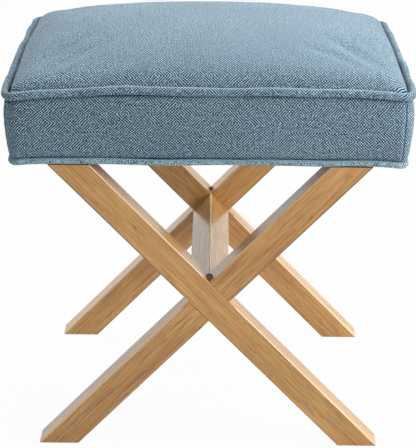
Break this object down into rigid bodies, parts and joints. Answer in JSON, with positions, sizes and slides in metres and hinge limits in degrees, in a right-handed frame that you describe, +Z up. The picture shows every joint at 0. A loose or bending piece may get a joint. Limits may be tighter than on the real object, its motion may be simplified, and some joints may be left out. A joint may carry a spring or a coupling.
{
  "type": "footstool",
  "caption": "Upholstered footstool: a crowned, piped box cushion on crossed wooden X frames that a square stretcher joins.",
  "frame": {"origin": "on the floor, under the middle of the seat", "axes": "+Z up, -Y towards the front X frame, +X to the right of someone facing the front, along the seat's width"},
  "size_m": [0.4632, 0.3972, 0.4866],
  "materials": {
    "leg_wood": "satin clear varnish over honey-coloured hardwood, straight grain",
    "frame_wood": "sawn softwood, unfinished",
    "plywood": "unfinished birch plywood",
    "cover_cloth": "matt blue herringbone weave",
    "welt_cloth": "the same cloth cut on the bias over piping cord",
    "foam": "cut polyurethane foam",
    "wadding": "bonded polyester fibre",
    "lining": "black nonwoven lining",
    "zinc_steel": "bright zinc plated steel",
    "glide_plastic": "brown moulded nylon"
  },
  "bodies": {
    "root": {"front_leg_over": "leg_wood", "front_leg_under": "leg_wood", "rear_leg_over": "leg_wood", "rear_leg_under": "leg_wood", "stretcher": "leg_wood", "front_rail": "frame_wood", "rear_rail": "frame_wood", "left_rail": "frame_wood", "right_rail": "frame_wood", "front_left_block": "frame_wood", "front_right_block": "frame_wood", "rear_left_block": "frame_wood", "rear_right_block": "frame_wood", "seat_deck": "plywood", "top_panel": "cover_cloth", "front_boxing": "cover_cloth", "rear_boxing": "cover_cloth", "left_boxing": "cover_cloth", "right_boxing": "cover_cloth", "top_welt": "welt_cloth", "bottom_welt": "welt_cloth", "foam_block": "foam", "crown_wadding": "wadding", "side_wadding": "wadding", "dust_cover": "lining", "crossing_screws": "zinc_steel", "leg_bolts": "zinc_steel", "leg_washers": "zinc_steel", "tee_nuts": "zinc_steel", "rail_screws": "zinc_steel", "deck_screws": "zinc_steel", "staples": "zinc_steel", "glide_nails": "zinc_steel", "foot_glides": "glide_plastic"}
  },
  "joints": []
}
